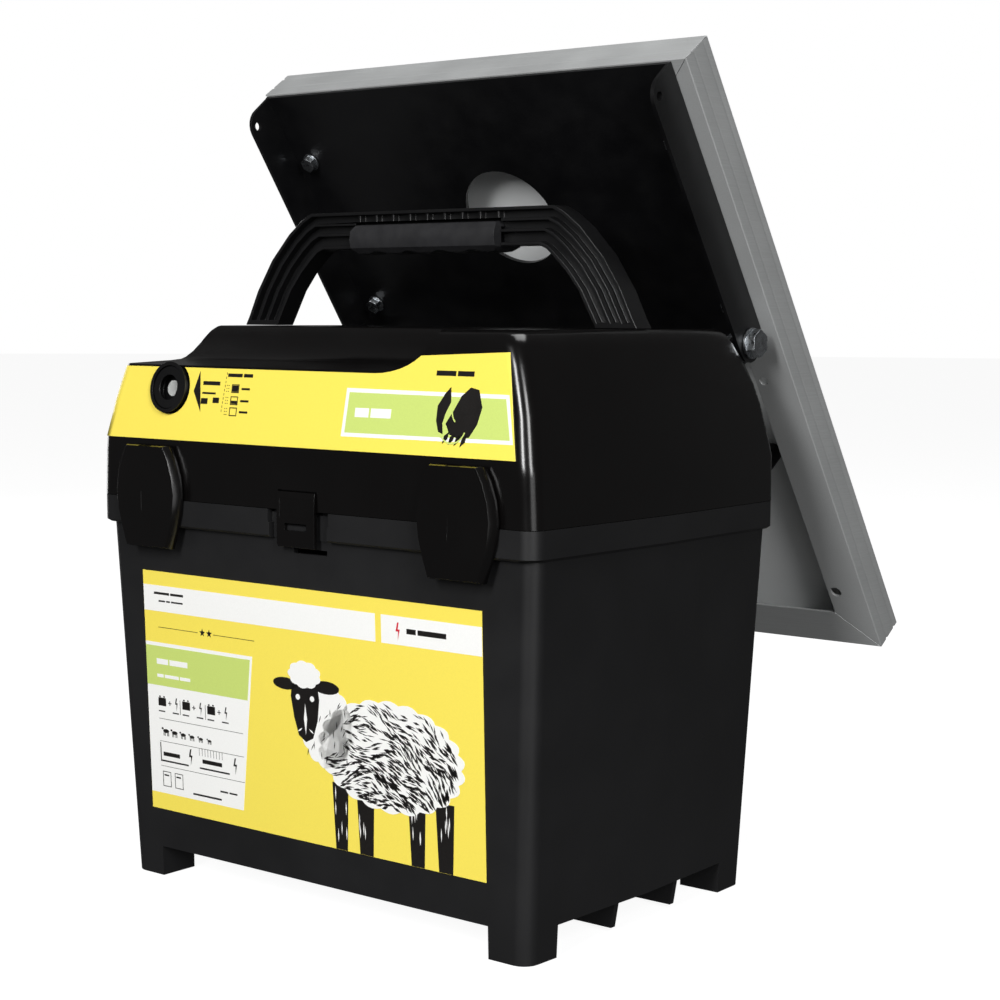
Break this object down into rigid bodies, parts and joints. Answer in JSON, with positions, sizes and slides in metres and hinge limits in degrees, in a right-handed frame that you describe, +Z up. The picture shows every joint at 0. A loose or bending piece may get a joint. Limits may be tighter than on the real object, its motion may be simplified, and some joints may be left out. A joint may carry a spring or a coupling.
{
  "type": "fence energizer",
  "caption": "Battery fence energizer: tapered box with hinged lid, latches, push button, carrying arch and a tilting framed solar panel on a sheet bracket.",
  "frame": {"origin": "centre of the footprint of the whole object on the floor, at the feet", "axes": "+X to the right seen from the front, +Y to the back, +Z up"},
  "size_m": [0.304, 0.3686, 0.4445],
  "materials": {
    "base_plastic": "matt black moulded plastic, fine grain",
    "lid_plastic": "glossy black moulded plastic",
    "black_plastic": "satin black plastic",
    "grip_rubber": "matt dark grey soft grip",
    "label_print": "printed yellow film",
    "bracket_paint": "black powder coat",
    "frame_aluminium": "clear anodised",
    "zinc_steel": "zinc plated",
    "pv_sheet": "glass-faced solar laminate with a white back",
    "battery_case": "moulded battery case",
    "core_steel": "laminated iron",
    "red_plastic": "red plastic",
    "board_green": "green circuit board",
    "copper_wire": "enamelled copper wire",
    "seal_rubber": "black rubber",
    "lamp_clear": "clear plastic lamp",
    "terminal_brass": "brass"
  },
  "bodies": {
    "base": {"base_box": "base_plastic", "base_seal": "seal_rubber", "base_label": "label_print", "battery": "battery_case", "battery_post_plus": "red_plastic", "battery_post_minus": "black_plastic", "hinge_pin_left": "zinc_steel", "hinge_pin_right": "zinc_steel"},
    "lid": {"lid_shell": "lid_plastic", "lid_label": "label_print", "lid_clip": "lid_plastic", "lid_tray": "black_plastic", "circuit_board": "board_green", "transformer_core": "core_steel", "transformer_coil": "copper_wire", "capacitor": "black_plastic", "button_bezel": "black_plastic", "handle_arch": "black_plastic", "handle_grip": "grip_rubber", "latch_pin_left": "zinc_steel", "latch_pin_right": "zinc_steel", "fence_stud": "terminal_brass", "earth_stud": "terminal_brass", "mount_bracket": "bracket_paint", "pivot_bolt_left": "zinc_steel", "pivot_bolt_right": "zinc_steel", "pivot_nut_left": "zinc_steel", "pivot_nut_right": "zinc_steel"},
    "button": {"button_cap": "black_plastic", "button_lamp": "lamp_clear"},
    "latch_l": {"latch_left": "lid_plastic"},
    "latch_r": {"latch_right": "lid_plastic"},
    "fence_knob_body": {"fence_knob": "red_plastic"},
    "earth_knob_body": {"earth_knob": "black_plastic"},
    "panel": {"frame_rail_bottom": "frame_aluminium", "frame_rail_top": "frame_aluminium", "frame_rail_left": "frame_aluminium", "frame_rail_right": "frame_aluminium", "pv_laminate": "pv_sheet", "junction_box": "black_plastic", "panel_bracket": "bracket_paint", "panel_bolt_1": "zinc_steel", "panel_bolt_2": "zinc_steel", "panel_bolt_3": "zinc_steel", "panel_bolt_4": "zinc_steel", "panel_nut_1": "zinc_steel", "panel_nut_2": "zinc_steel", "panel_nut_3": "zinc_steel", "panel_nut_4": "zinc_steel"}
  },
  "joints": [
    {"name": "lid_open", "type": "hinge", "parent": "base", "child": "lid", "pos_m": [0, 0.0394, 0.2098], "axis": [-1, 0, 0], "range_deg": [0, 35]},
    {"name": "panel_tilt", "type": "hinge", "parent": "lid", "child": "panel", "pos_m": [0, 0.02635, 0.29307], "axis": [1, 0, 0], "range_deg": [-12, 12]},
    {"name": "button_press", "type": "slide", "parent": "lid", "child": "button", "axis": [0, 0.9848, -0.1736], "range_m": [0, 0.003], "stiffness_N_per_m": 500, "springref_m": -0.002},
    {"name": "latch_left_open", "type": "hinge", "parent": "lid", "child": "latch_l", "pos_m": [-0.106, -0.1809, 0.2356], "axis": [-1, 0, 0], "range_deg": [0, 75]},
    {"name": "latch_right_open", "type": "hinge", "parent": "lid", "child": "latch_r", "pos_m": [0.106, -0.1809, 0.2356], "axis": [-1, 0, 0], "range_deg": [0, 75]},
    {"name": "fence_knob_turn", "type": "hinge", "parent": "lid", "child": "fence_knob_body", "pos_m": [-0.026, 0.0424, 0.228], "axis": [0, 1, 0], "continuous": true},
    {"name": "earth_knob_turn", "type": "hinge", "parent": "lid", "child": "earth_knob_body", "pos_m": [0.026, 0.0424, 0.228], "axis": [0, 1, 0], "continuous": true}
  ]
}
